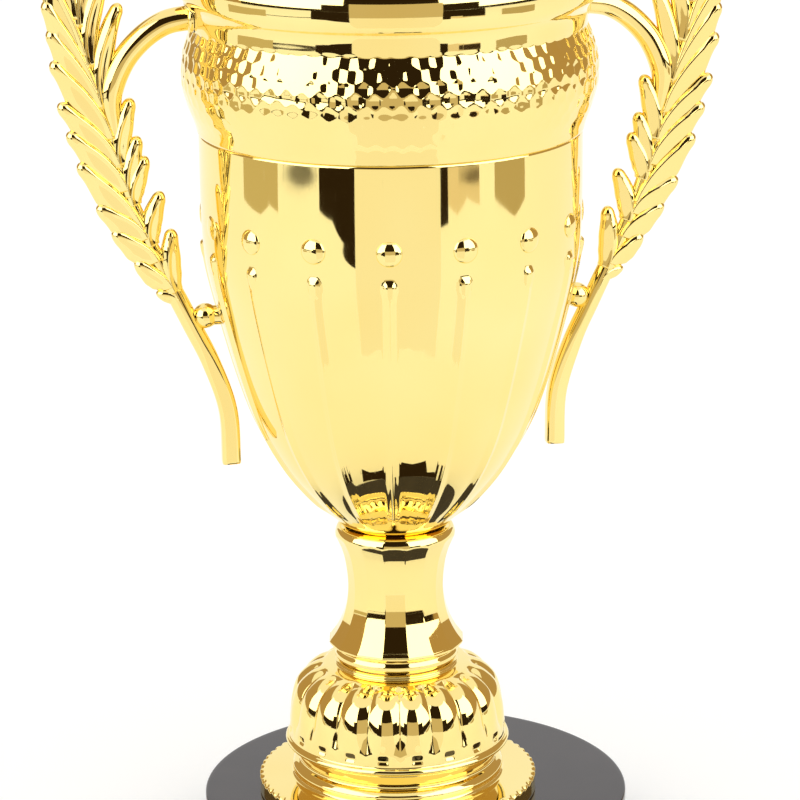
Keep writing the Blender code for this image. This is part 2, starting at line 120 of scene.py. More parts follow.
FACET_FLATNESS = 0.94                                   # 1 is a flat facet, 0 a round stem
CORNER_HIGH, CORNER_FADE = 40.9, 0.6                    # the foot turns round this far below this height

DOME_TOP = [(ROD_HOLE, 36.0), (15.2, 36.0), (15.9, 35.5), (15.7, 34.9)]
DOME_LOBES = [(18.8, 34.6), (22.6, 32.9), (25.9, 29.6), (27.5, 24.8), (28.1, 19.0)]
DOME_FOOT = [(28.1, 15.6), (28.8, 15.2), (29.1, 14.5), (28.8, 13.8), (28.2, 13.5)]
DOME_INNER = [(26.4, 13.5), (26.2, 19.0), (25.4, 24.4), (23.6, 28.6), (20.8, 31.4), (17.4, 33.0),
              (ROD_HOLE, 33.6)]
LOBE_COUNT = 20
LOBE_DEPTH = 1.1
LOBE_LOW, LOBE_FULL = 16.4, 24.0                        # the creases deepen between these heights
LOBE_FADE, LOBE_HIGH = 33.9, 34.7                       # and end between these
LOBE_RADIUS = 27.0
DENT_HEIGHT = 17.9                                      # small square dents under the lobes
DENT_HALF_WIDTH, DENT_HALF_HEIGHT = 1.45, 1.05
DENT_DEPTH, DENT_LEAN = 0.08, 0.26                      # depth at the top, and what each mm downwards adds

PLATE_OUTER = [(ROD_HOLE, 13.2), (26.9, 13.2), (27.0, 12.9), (26.5, 11.9), (26.0, 10.8), (25.6, 9.7),
               (25.7, 9.1), (26.6, 8.5), (27.4, 7.6), (27.5, 6.8), (27.1, 5.9), (27.7, 5.2), (35.0, 4.8),
               (36.0, 4.1), (36.0, 0.3)]
PLATE_INNER = [(34.2, 0.3), (34.2, 3.0), (24.2, 3.0), (24.2, 11.4), (ROD_HOLE, 11.4)]
PLATE_BEADS = 68
PLATE_BEAD_PLACE = (35.6, 4.4)
PLATE_BEAD_SIZE = 0.55
PLINTH_WALL = 2.8

# ---------------------------------------------------------------- handle, (X, height) on the +X side
# a leaf is the X and height of its tip and the height on the spine where it starts
SPINE = [(41.9, 90.5), (42.5, 105.0), (46.4, 117.5), (51.0, 127.5), (55.0, 136.0), (59.0, 144.5),
         (63.0, 154.0), (66.8, 165.0), (70.0, 178.0), (73.5, 190.0), (76.6, 202.0), (77.3, 212.0),
         (76.3, 221.0), (75.0, 229.0)]
ARM = [(67.4, 170.0), (68.9, 179.0), (69.4, 187.0), (66.4, 194.6), (61.6, 200.2), (56.0, 203.8),
       (50.5, 204.9), (46.0, 205.0)]
ARM_RADIUS, ARM_START_RADIUS = 3.05, 1.3
SPINE_RADIUS = 2.35
OUTER_LEAVES = [(59.8, 136.1, 134.0), (65.0, 144.3, 137.9), (70.4, 152.0, 144.7), (74.0, 158.6, 150.6),
                (78.2, 169.8, 153.0), (80.6, 177.6, 163.0), (82.5, 184.9, 168.8), (83.9, 195.4, 176.1),
                (84.3, 203.2, 183.7), (85.0, 210.4, 187.6), (84.6, 218.6, 197.0), (82.4, 226.0, 206.0)]
INNER_LEAVES = [(55.3, 152.5, 136.5), (57.5, 162.0, 148.5), (61.0, 171.0, 159.0), (62.9, 176.2, 161.3),
                (64.3, 185.7, 169.4), (66.6, 209.2, 184.0), (68.6, 219.5, 194.0), (69.8, 228.0, 204.0)]
TOP_LEAF = (75.0, 232.0, 214.0)
LEAF_TIP_RADIUS = 1.65
LEAF_HALF_THICKNESS = 1.95
LEAF_TIP_THICKNESS = 1.75
LEAF_RIDGE, LEAF_RIDGE_WIDTH = 0.24, 0.50
BALL_CENTRE = (47.6, 129.8)
BALL_RADIUS = 3.2

# ---------------------------------------------------------------- studio, in metres and degrees
DARK = (0.05, 0.03, 0.015)
BROWN = (0.46, 0.31, 0.15)
TAN = (0.62, 0.52, 0.36)
WHITE = (1.0, 1.0, 1.0)
DARK_STRENGTH = 0.5
ROOM_RADIUS = 2.20
LAMP_RADIUS = 1.30
LAMP_STRENGTH = 2.6
CARD_LEVEL = 0.12                                       # elevations are measured from this height
SHEET_TURNS = (-21, 28)                                 # the table sheet in front of the trophy
SHEET_START, SHEET_BEND = 0.20, 1.02                    # where the sheet starts, and where it gets darker
GROUND_END = 2.16


# ================================================================ outline tools
def smooth(points, step=0.6):
    """Catmull-Rom curve through the points, with steps of about the given length."""
    knots = [np.array(p, float) for p in points]
    knots = [2 * knots[0] - knots[1]] + knots + [2 * knots[-1] - knots[-2]]
    curve = []
    for a, b, c, d in zip(knots, knots[1:], knots[2:], knots[3:]):
        count = max(2, int(np.linalg.norm(c - b) / step))
        for t in np.arange(count) / count:
            linear = (c - a) * t
            square = (2 * a - 5 * b + 4 * c - d) * t ** 2
            cube = (3 * b - a - 3 * c + d) * t ** 3
            curve.append(0.5 * (2 * b + linear + square + cube))
    curve.append(knots[-2])
    return curve


def rounded(points, radius=0.25, closed=True):
    """The outline with each sharp corner replaced by a short arc."""
    points = [np.array(p, float) for p in points]
    count = len(points)
    made = []
    for i, here in enumerate(points):
        if not closed and i in (0, count - 1):
            made.append(here)
            continue
        before, after = points[i - 1] - here, points[(i + 1) % count] - here
        reach_in, reach_out = np.linalg.norm(before), np.linalg.norm(after)
        if min(reach_in, reach_out) < 1e-6:
            continue
        turn = np.dot(before, after) / (reach_in * reach_out)
        if turn < -0.94:
            made.append(here)
            continue
        cut = min(radius, 0.4 * reach_in, 0.4 * reach_out)
        start, end = here + before / reach_in * cut, here + after / reach_out * cut
        for t in (0.0, 0.25, 0.5, 0.75, 1.0):
            made.append((1 - t) ** 2 * start + 2 * t * (1 - t) * here + t ** 2 * end)
    return made


def divided(points, longest, closed=True):
    """The outline with points added, so that no step is longer than the given length."""
    made = []
    last = len(points) if closed else len(points) - 1
    for i in range(last):
        here, there = np.array(points[i]), np.array(points[(i + 1) % len(points)])
        count = max(1, math.ceil(np.linalg.norm(there - here) / longest))
        made += [here + (there - here) * k / count for k in range(count)]
    if not closed:
        made.append(np.array(points[-1]))
    return made


def inwards(curve, distance):
    """The curve moved towards the axis by a wall thickness, along its normals."""
    curve = np.array(curve)
    run = np.gradient(curve, axis=0)
    run /= np.linalg.norm(run, axis=1)[:, None]
    return [tuple(p) for p in curve + distance * np.stack([run[:, 1], -run[:, 0]], 1)]


def outward_normals(outline):
    """Unit normals of a closed outline that runs down the outer side, pointing out of the material."""
    run = np.roll(outline, -1, 0) - np.roll(outline, 1, 0)
    run /= np.maximum(np.linalg.norm(run, axis=1), 1e-9)[:, None]
    return np.stack([-run[:, 1], run[:, 0]], 1)


def step_up(values, low, high):
    """Smooth 0 to 1 between low and high."""
    t = np.clip((values - low) / (high - low), 0.0, 1.0)
    return t * t * (3 - 2 * t)


# ================================================================ mesh tools
class Skin:
    """Points and faces of one mesh, collected patch by patch."""

    def __init__(self):
        self.points = []
        self.faces = []
        self.count = 0

    def add(self, points, faces):
        self.points.append(np.asarray(points, float).reshape(-1, 3))
        self.faces.append(np.asarray(faces, int) + self.count)
        self.count += len(self.points[-1])

    def add_grid(self, grid):
        """Quads over grid[row, column], closed both ways: rows run down outside, columns anticlockwise."""
        rows, columns = grid.shape[:2]
        index = np.arange(rows * columns).reshape(rows, columns)
        index = np.vstack([index, index[:1]])
        index = np.hstack([index, index[:, :1]])
        corners = (index[:-1, :-1], index[1:, :-1], index[1:, 1:], index[:-1, 1:])
        self.add(grid, np.stack(corners, -1).reshape(-1, 4))

    def add_loft(self, rings, flip=False):
        """Closed tube through rings[section, point], its two ends closed by fans."""
        sections, around = rings.shape[:2]
        index = np.arange(sections * around).reshape(sections, around)
        index = np.hstack([index, index[:, :1]])
        quads = np.stack((index[:-1, :-1], index[:-1, 1:], index[1:, 1:], index[1:, :-1]), -1).reshape(-1, 4)
        first, last = sections * around, sections * around + 1
        low = np.stack((index[0, 1:], index[0, :-1], np.full(around, first), np.full(around, first)), -1)
        high = np.stack((index[-1, :-1], index[-1, 1:], np.full(around, last), np.full(around, last)), -1)
        points = np.vstack([rings.reshape(-1, 3), rings[0].mean(0), rings[-1].mean(0)])
        faces = np.vstack([quads, low, high])
        self.add(points, faces[:, ::-1] if flip else faces)

    def build(self, name):
        points = np.vstack(self.points)
        points[:, 2] += BASE
        faces = [list(dict.fromkeys(f)) for f in np.vstack(self.faces).tolist()]
        mesh = bpy.data.meshes.new(name)
        mesh.from_pydata((points * MM).tolist(), [], faces)
        mesh.shade_smooth()
        piece = bpy.data.objects.new(name, mesh)
        bpy.context.scene.collection.objects.link(piece)
        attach(piece, "root")
        return piece


def finish_piece(piece, material, slot, *nodes):
    """Gives a piece its material and hides the CAD nodes it replaces; slot is not used."""
    piece.data.materials.append(material)
    if nodes:
        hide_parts(*nodes)
    return piece


def turned_grid(outline, azimuths, relief=None, centre=0.0):
    """Points of a turned body; relief(outline, azimuths) gives how far each point stands off its normal."""
    outline = np.array(outline)
    shift = np.zeros((len(outline), len(azimuths))) if relief is None else relief(outline, azimuths)
    normals = outward_normals(outline)
    radius = outline[:, :1] + shift * normals[:, :1]
    height = outline[:, 1:] + shift * normals[:, 1:]
    return np.stack([radius * np.cos(azimuths) + centre, radius * np.sin(azimuths), height], -1)


def even_azimuths(columns):
    return np.arange(columns) / columns * 2 * math.pi


def turned_piece(name, outline, columns, relief=None, centre=0.0):
    skin = Skin()
    skin.add_grid(turned_grid(outline, even_azimuths(columns), relief, centre))
    return skin.build(name)


# ================================================================ materials
def new_material(name):
    material = bpy.data.materials.new(name)
    material.use_nodes = True
    tree = material.node_tree
    return material, tree, tree.nodes["Principled BSDF"]


def noise(tree, scale, detail=3.0, stretch=(1.0, 1.0, 1.0)):
    """Noise in object space; scale is in waves per metre."""
    place = tree.nodes.new("ShaderNodeTexCoord")
    mapping = tree.nodes.new("ShaderNodeMapping")
    mapping.inputs["Scale"].default_value = stretch
    texture = tree.nodes.new("ShaderNodeTexNoise")
    texture.inputs["Scale"].default_value = scale
    texture.inputs["Detail"].default_value = detail
    tree.links.new(place.outputs["Object"], mapping.inputs["Vector"])
    tree.links.new(mapping.outputs["Vector"], texture.inputs["Vector"])
    return texture.outputs["Fac"]


def ramp(tree, value, stops):
    """Colour ramp over a value; stops are (position, colour)."""
    node = tree.nodes.new("ShaderNodeValToRGB")
    elements = node.color_ramp.elements
    while len(elements) < len(stops):
        elements.new(0.5)
    for element, (position, colour) in zip(elements, stops):
        element.position = position
        element.color = (*colour, 1.0)
    tree.links.new(value, node.inputs["Fac"])
    return node.outputs["Color"]


def spread(tree, value, low, high, start, end):
    """The value's range from low to high, mapped to start to end."""
    node = tree.nodes.new("ShaderNodeMapRange")
    node.inputs["From Min"].default_value = low
    node.inputs["From Max"].default_value = high
    node.inputs["To Min"].default_value = start
    node.inputs["To Max"].default_value = end
    tree.links.new(value, node.inputs["Value"])
    return node.outputs["Result"]


def added(tree, first, second):
    node = tree.nodes.new("ShaderNodeMath")
    node.operation = "ADD"
    tree.links.new(first, node.inputs[0])
    tree.links.new(second, node.inputs[1])
    return node.outputs["Value"]


def bump(tree, height, distance, under=None):
    """Bump of the given distance in metres, on top of another bump."""
    node = tree.nodes.new("ShaderNodeBump")
    node.inputs["Distance"].default_value = distance
    tree.links.new(height, node.inputs["Height"])
    if under is not None:
        tree.links.new(under, node.inputs["Normal"])
    return node.outputs["Normal"]


PALE_GOLD = ((1.0, 0.785, 0.28), (1.0, 0.84, 0.35))
ROSY_GOLD = ((1.0, 0.77, 0.27), (1.0, 0.82, 0.33))
RUB_DEPTH = 0.0000012


def gold(name, ripple, tints=PALE_GOLD):
    """Vacuum-metallised gold: mirror bright, with slight moulding ripple, rub marks and colour drift."""
    material, tree, shader = new_material(name)
    drift = noise(tree, 22.0, 2.0)
    colour = ramp(tree, drift, [(0.3, tints[0]), (0.7, tints[1])])
    rubs = noise(tree, 900.0, 4.0, (1.0, 1.0, 0.12))
    haze = spread(tree, noise(tree, 70.0, 4.0), 0.35, 0.75, 0.02, 0.055)
    scuffs = spread(tree, rubs, 0.66, 0.78, 0.0, 0.12)
    tree.links.new(colour, shader.inputs["Base Color"])
    tree.links.new(added(tree, haze, scuffs), shader.inputs["Roughness"])
    ripples = bump(tree, noise(tree, 45.0, 1.0), ripple)
    tree.links.new(bump(tree, rubs, RUB_DEPTH, ripples), shader.inputs["Normal"])
    shader.inputs["Metallic"].default_value = 1.0
    return material


def black_gloss():
    """Black moulded plastic with a polished face, faint swirl haze and dust."""
    material, tree, shader = new_material("black_gloss")
    mottle = noise(tree, 60.0, 4.0)
    colour = ramp(tree, mottle, [(0.35, (0.012, 0.011, 0.011)), (0.75, (0.024, 0.021, 0.021))])
    dust = spread(tree, noise(tree, 1500.0, 2.0), 0.70, 0.80, 0.0, 0.25)
    tree.links.new(colour, shader.inputs["Base Color"])
    haze = spread(tree, noise(tree, 25.0, 5.0), 0.3, 0.7, 0.05, 0.10)
    tree.links.new(added(tree, haze, dust), shader.inputs["Roughness"])
    tree.links.new(bump(tree, noise(tree, 120.0, 3.0), 0.000004), shader.inputs["Normal"])
    shader.inputs["IOR"].default_value = 1.5
    shader.inputs["Specular Tint"].default_value = (1.0, 0.87, 0.87, 1.0)
    return material


def zinc():
    """Zinc-plated steel with a slight blue and yellow bloom and turning marks."""
    material, tree, shader = new_material("zinc_plate")
    bloom = noise(tree, 300.0, 3.0)
    tints = [(0.3, (0.52, 0.55, 0.60)), (0.6, (0.66, 0.66, 0.65)), (0.8, (0.70, 0.66, 0.55))]
    colour = ramp(tree, bloom, tints)
    tree.links.new(colour, shader.inputs["Base Color"])
    marks = noise(tree, 2600.0, 3.0, (1.0, 1.0, 0.2))
    tree.links.new(spread(tree, marks, 0.3, 0.8, 0.22, 0.45), shader.inputs["Roughness"])
    tree.links.new(bump(tree, marks, 0.00001), shader.inputs["Normal"])
    shader.inputs["Metallic"].default_value = 1.0
    return material


def cast_iron():
    """Rough grey casting with rusty specks."""
    material, tree, shader = new_material("cast_iron")
    grain = noise(tree, 700.0, 5.0)
    tints = [(0.3, (0.05, 0.048, 0.045)), (0.6, (0.14, 0.13, 0.12)), (0.8, (0.24, 0.14, 0.08))]
    colour = ramp(tree, grain, tints)
    tree.links.new(colour, shader.inputs["Base Color"])
    tree.links.new(spread(tree, grain, 0.2, 0.8, 0.5, 0.8), shader.inputs["Roughness"])
    tree.links.new(bump(tree, grain, 0.0002), shader.inputs["Normal"])
    shader.inputs["Metallic"].default_value = 0.7
    return material


def foam():
    """Black cellular foam."""
    material, tree, shader = new_material("foam_pad")
    cells = noise(tree, 1800.0, 2.0)
    colour = ramp(tree, cells, [(0.35, (0.008, 0.008, 0.009)), (0.7, (0.05, 0.05, 0.052))])
    tree.links.new(colour, shader.inputs["Base Color"])
    tree.links.new(spread(tree, cells, 0.2, 0.8, 0.8, 1.0), shader.inputs["Roughness"])
    tree.links.new(bump(tree, cells, 0.0003), shader.inputs["Normal"])
    return material


# ================================================================ cup
def scatter(row, cell, seed):
    """Repeatable value from -1 to 1 for a cell of the hammered pattern."""
    mixed = np.sin(row * 12.9898 + (cell % BAND_CELLS) * 78.233 + seed) * 43758.5453
    return 2 * (mixed - np.floor(mixed)) - 1


def hammered(outline, azimuths):
    """Staggered dimples that meet in ridges round the collar's band, fading below its widest line."""
    radius, height = outline[:, :1], outline[:, 1:]
    down = (BAND_HIGH - height) / BAND_ROW - 0.45
    turn = azimuths[None, :] / (2 * math.pi) * BAND_CELLS
    width = 2 * math.pi * BAND_RADIUS / BAND_CELLS
    nearest = np.full((len(outline), len(azimuths)), 1e9)
    for row_step in (-1, 0, 1, 2):
        row = np.floor(down) + row_step
        shift = 0.5 * (row % 2)
        for cell_step in (-1, 0, 1):
            cell = np.round(turn - shift) + cell_step
            across = (turn - shift - cell + 0.11 * scatter(row, cell, 1.0)) * width
            along = (down - row + 0.12 * scatter(row, cell, 2.0)) * BAND_ROW
            away = (across ** 2 + along ** 2) * (1 + 0.22 * scatter(row, cell, 3.0))
            nearest = np.minimum(nearest, away)
    steep = 0.010 + 0.018 * step_up(height, 181.0, 185.5) + 0.048 * step_up(height, 186.0, 190.5)
    window = step_up(height, 177.5, 180.5) * (1 - step_up(height, BAND_HIGH - 0.4, BAND_HIGH))
    on_band = (radius > BAND_INSIDE) & (height < BAND_HIGH)
    return (np.minimum(nearest, DIMPLE_REACH) - DIMPLE_REACH) * steep * window * on_band


def build_collar(material):
    """Flared rim, smooth cove and hammered band, with the inner side following them."""
    outer = smooth(COLLAR_RIM, 0.75)[:-1] + smooth(COLLAR_BAND, 0.34)
    inner = rounded(COLLAR_STEP, 0.15, False) + smooth(COLLAR_INNER, 1.6)
    skin = Skin()
    grid = turned_grid(outer, even_azimuths(COLLAR_COLUMNS), hammered)
    inside = turned_grid(divided(inner, 2.0, False), even_azimuths(COLLAR_COLUMNS))
    skin.add_grid(np.vstack([grid, inside]))
    return finish_piece(skin.build("rim_collar_hammered"), material, "gilt_plastic", "rim_collar")


def bowl_relief(outline, azimuths, outer_rows):
    """Sixteen low ribs, each with a fine spine line and a drop-shaped head."""
    pitch = 2 * math.pi / BEAD_COUNT
    local = (azimuths + 1e-9) % pitch - pitch / 2
    across = np.abs(outline[:, :1] * local[None, :])
    height = outline[:, 1:]
    outer = np.arange(len(outline))[:, None] < outer_rows
    along = step_up(height, RIB_LOW, RIB_LOW + 6)
    along = along * (1 - step_up(height, TEAR_HEIGHT - 0.4, TEAR_HEIGHT + 0.4))
    rib = RIB_RISE * np.clip(1 - (across / RIB_HALF_WIDTH) ** 2, 0, 1) ** 1.4
    rib = rib + RIB_LINE_RISE * np.exp(-(across / RIB_LINE_WIDTH) ** 2)
    rise = height - TEAR_HEIGHT
    drop = (across / TEAR_HALF_WIDTH) ** 2 + np.where(rise > 0, rise / TEAR_HEAD, rise / TEAR_TAIL) ** 2
    head = TEAR_RISE * np.sqrt(np.clip(1 - drop, 0, 1))
    return np.maximum(rib * along, head) * outer


def rib_azimuths(per_rib):
    """Azimuths that crowd round the ribs."""
    pitch = 2 * math.pi / BEAD_COUNT
    u = (np.arange(per_rib) + 0.5) / per_rib * 2 - 1
    local = (0.30 * u + 0.70 * u ** 3) * pitch / 2
    return np.concatenate([(i + 0.5) * pitch + local for i in range(BEAD_COUNT)])


def build_bowl(material):
    """Deep ribbed bowl with an even wall and a flat foot round the rod."""
    outer = smooth(BOWL_CURVE, 0.75)
    inner = [p for p in inwards(smooth(BOWL_CURVE, 2.5), BOWL_WALL) if p[1] > BOWL_FLOOR][::-1]
    outline = outer + rounded(BOWL_FOOT, 0.3, False) + inner + rounded(BOWL_RIM, 0.2, False)
    skin = Skin()
    skin.add_grid(turned_grid(outline, rib_azimuths(28), lambda o, a: bowl_relief(o, a, len(outer))))
    return finish_piece(skin.build("cup_bowl_ribbed"), material, "gilt_plastic", "cup_bowl")


def build_beads(material):
    """Low round beads on the bowl, above the ribs."""
    curve = np.array(BOWL_CURVE[::-1])
    reach = np.interp(BEAD_HEIGHT, curve[:, 1], curve[:, 0])
    skin = Skin()
    share = np.sin(np.linspace(0.02, math.pi / 2, 18))
    dome = np.clip(1 - share ** 1.9, 0, 1) ** 0.6
    share = np.append(share, 1.0)
    dome = np.append(dome, 0.0)
    around = even_azimuths(36)
    up = np.array([0.0, 0.0, 1.0])
    for i in range(BEAD_COUNT):
        azimuth = (i + 0.5) * 2 * math.pi / BEAD_COUNT
        out = np.array([math.cos(azimuth), math.sin(azimuth), 0.0])
        side = np.array([-math.sin(azimuth), math.cos(azimuth), 0.0])
        ring = side * np.cos(around)[:, None] + up * np.sin(around)[:, None]
        near_handle = abs(math.sin(azimuth)) < 0.3
        stand = BEAD_RISE * (HANDLE_BEAD_SHARE if near_handle else 1.0) * dome
        stand[-1] = -BEAD_BACK
        rings = [out * (reach + h) + up * BEAD_HEIGHT + BEAD_RADIUS * r * ring for r, h in zip(share, stand)]
        skin.add_loft(np.array(rings), flip=True)
    return finish_piece(skin.build("bowl_beads"), material, "gilt_plastic")


# ================================================================ stem and base
def facet_factor(azimuths, count):
    """How far out each azimuth lies on a polygon whose corners are at 1."""
    pitch = 2 * math.pi / count
    local = azimuths % pitch - pitch / 2
    return math.cos(pitch / 2) / np.cos(local)


def build_stem(material):
    """Sixteen flutes cut into a round lip; the flutes run out at a thin cornered foot."""
    heights = np.linspace(STEM_HIGH, STEM_LOW, 120)
    lip = np.array(smooth(STEM_LIP, 0.3))[::-1]
    flutes = np.array(smooth(STEM_FLUTES, 0.3))[::-1]
    azimuths = even_azimuths(STEM_FACETS * 24)
    facets = facet_factor(azimuths, STEM_FACETS) ** FACET_FLATNESS
    round_lip = np.interp(heights, lip[:, 1], lip[:, 0])[:, None]
    cut = np.interp(heights, flutes[:, 1], flutes[:, 0])[:, None] * facets[None, :]
    has_lip = (heights >= LIP_LOW)[:, None]
    upper = np.where(has_lip, np.minimum(round_lip, cut), cut)
    foot = np.array(divided(rounded(STEM_FOOT, 0.2, False), 0.4, False))
    corners = 1 - step_up(CORNER_HIGH - foot[:, 1], 0.0, CORNER_FADE)[:, None]
    lower = foot[:, :1] * (1 + (facets[None, :] - 1) * corners)
    inner = np.array(divided(STEM_INNER, 1.5, False))
    inside = np.repeat(inner[:, :1], len(azimuths), 1)
    radius = np.vstack([upper, lower, inside])
    height = np.concatenate([heights, foot[:, 1], inner[:, 1]])[:, None]
    grid = np.stack([radius * np.cos(azimuths), radius * np.sin(azimuths), height + 0 * radius], -1)
    skin = Skin()
    skin.add_grid(grid)
    return finish_piece(skin.build("stem_fluted"), material, "gilt_plastic", "stem")


def lobes(outline, azimuths, outer_rows):
    """Rounded gadroons that meet in creases and run out on the skirt, with a small dent under each."""
    pitch = 2 * math.pi / LOBE_COUNT
    local = (azimuths + pitch / 2) % pitch / pitch * 2 - 1
    across = local[None, :] * pitch / 2 * outline[:, :1]
    radius, height = outline[:, :1], outline[:, 1:]
    outside = (np.arange(len(outline)) < outer_rows)[:, None]
    lobed = outside & (radius > DOME_TOP[-2][0]) & (height > DOME_FOOT[0][1])
    reach = step_up(height, LOBE_LOW, LOBE_FULL) * (1 - step_up(height, LOBE_FADE, LOBE_HIGH))
    scale = np.clip(radius / LOBE_RADIUS, 0.5, 1.0)
    crease = LOBE_DEPTH * local[None, :] ** 2 * reach * scale * lobed
    window = 1 - (across / DENT_HALF_WIDTH) ** 6 - ((height - DENT_HEIGHT) / DENT_HALF_HEIGHT) ** 6
    dent = DENT_DEPTH + DENT_LEAN * (DENT_HEIGHT + DENT_HALF_HEIGHT - height)
    pocket = np.clip(window, 0, 1) ** 0.5 * dent * outside * (radius > LOBE_RADIUS)
    return -crease - pocket


def build_dome(material):
    """Gadrooned dome with a rolled foot, hollow underneath."""
    outer = rounded(DOME_TOP, 0.25, False) + smooth(DOME_LOBES, 0.3) + rounded(DOME_FOOT, 0.25, False)
    outer = divided(outer, 0.5, False)
    outline = outer + divided(smooth(DOME_INNER, 1.2), 2.0, False)
    piece = turned_piece("dome_gadrooned", outline, LOBE_COUNT * 28, lambda o, a: lobes(o, a, len(outer)))
    return finish_piece(piece, material, "gilt_plastic", "fluted_dome")


def rim_beads(outline, azimuths):
    """Tiny beads along the plate's upper edge."""
    radius, height = outline[:, :1], outline[:, 1:]
    away = (radius - PLATE_BEAD_PLACE[0]) ** 2 + (height - PLATE_BEAD_PLACE[1]) ** 2
    at_rim = np.exp(-away / PLATE_BEAD_SIZE ** 2)
    row = np.abs(np.cos(azimuths * PLATE_BEADS / 2))[None, :]
    return (0.7 * row - 0.35) * at_rim * (radius > 34.4)


def build_plate(material):
    """Plate with a spool-shaped neck and a beaded edge."""
    spool_and_rim = divided(rounded(PLATE_OUTER[1:], 0.45, False), 0.45, False)
    inner = divided(rounded(PLATE_INNER, 0.3, False), 2.0, False)
    outline = divided(PLATE_OUTER[:1] + spool_and_rim + inner, 4.0)
    return finish_piece(turned_piece("base_plate_beaded", outline, PLATE_BEADS * 8, rim_beads),
                        material, "gilt_plastic", "base_plate")


def build_plinth(material, pad_material):
    """Hollow black disc, and the foam pad that closes its underside."""
    bottom = PAD_HIGH + 0.3
    inner = PLINTH_RADIUS - PLINTH_WALL
    outline = [(ROD_HOLE, 0.0), (PLINTH_RADIUS, 0.0), (PLINTH_RADIUS, bottom), (inner, bottom),
               (inner, -PLINTH_WALL), (ROD_HOLE, -PLINTH_WALL)]
    outline = divided(rounded(outline, 0.7), 1.0)
    piece = turned_piece("plinth_disc", outline, 240, centre=PLINTH_X)
    finish_piece(piece, material, "black_plastic", "plinth")
    radius = PLINTH_RADIUS - 0.6
    pad = [(0.4, PAD_HIGH), (radius, PAD_HIGH), (radius, -BASE), (0.4, -BASE)]
    pad = turned_piece("foam_pad_disc", divided(rounded(pad, 0.3), 1.5), 160, centre=PLINTH_X)
    finish_piece(pad, pad_material, "foam", "base_pad")


# ================================================================ handles
def frame_along(path):
    """Tangents and left-hand normals of a path in the XZ plane."""
    tangent = np.gradient(path, axis=0)
    tangent /= np.maximum(np.linalg.norm(tangent, axis=1), 1e-9)[:, None]
    return tangent, np.stack([-tangent[:, 1], tangent[:, 0]], 1)


def placed(path, across, depth, side):
    """Rings from a path: across[k, j] along the path's normal, depth[k, j] along Y."""
    _, normal = frame_along(path)
    x = path[:, :1] + across * normal[:, :1]
    z = path[:, 1:] + across * normal[:, 1:]
    return np.stack([side * x, depth, z], -1)


def squircle(around, power):
    """Unit section between a circle (2) and a square (large powers)."""
    c, s = np.cos(around), np.sin(around)
    size = (np.abs(c) ** power + np.abs(s) ** power) ** (-1 / power)
    return c * size, s * size


def rod_rings(path, radius, side, power=None, around=28, depth_share=None):
    """Rings of a rod; power makes its section squarer and depth_share flattens it along Y."""
    angles = even_azimuths(around)
    power = np.full(len(path), 2.0) if power is None else power
    depth_share = np.ones(len(path)) if depth_share is None else depth_share
    sections = [squircle(angles, p) for p in power]
    across = np.array([s[0] for s in sections]) * radius[:, None]
    depth = np.array([s[1] for s in sections]) * (radius * depth_share)[:, None]
    return placed(path, across, depth, side)


def kept_outside(rings, outline, gap=0.12):
    """Rings whose points inside the cup are moved out to rest on its surface."""
    outline = np.array(outline)[::-1]
    limit = np.interp(rings[..., 2], outline[:, 1], outline[:, 0]) + gap
    reach = np.hypot(rings[..., 0], rings[..., 1])
    factor = np.maximum(1.0, limit / np.maximum(reach, 1e-6))
    return rings * np.stack([factor, factor, np.ones_like(factor)], -1)


def end_rounding(count, first, last, share=0.08):
    """Factors that close the ends of a rod over the given share of its length."""
    t = np.linspace(0, 1, count)
    start = np.sqrt(np.clip(1 - (1 - np.clip(t / share, 0, 1)) ** 2, 0, 1)) if first else 1.0
    end = np.sqrt(np.clip(1 - (1 - np.clip((1 - t) / share, 0, 1)) ** 2, 0, 1)) if last else 1.0
    return np.maximum(start * end, 0.02)


def spine_at(height):
    """The point of the spine at a height."""
    spine = np.array(smooth(SPINE, 0.5))
    return np.array([np.interp(height, spine[:, 1], spine[:, 0]), height])


def leaf_section():
    """Positions across a blade, from its lower edge (-1) over the crest (0) to its upper edge (1)."""
    lower = -0.5 * (1 + np.cos(np.linspace(0, math.pi, 15)))
    upper = 0.5 * (1 - np.cos(np.linspace(0, math.pi, 9)))
    return np.concatenate([lower, upper[1:]])


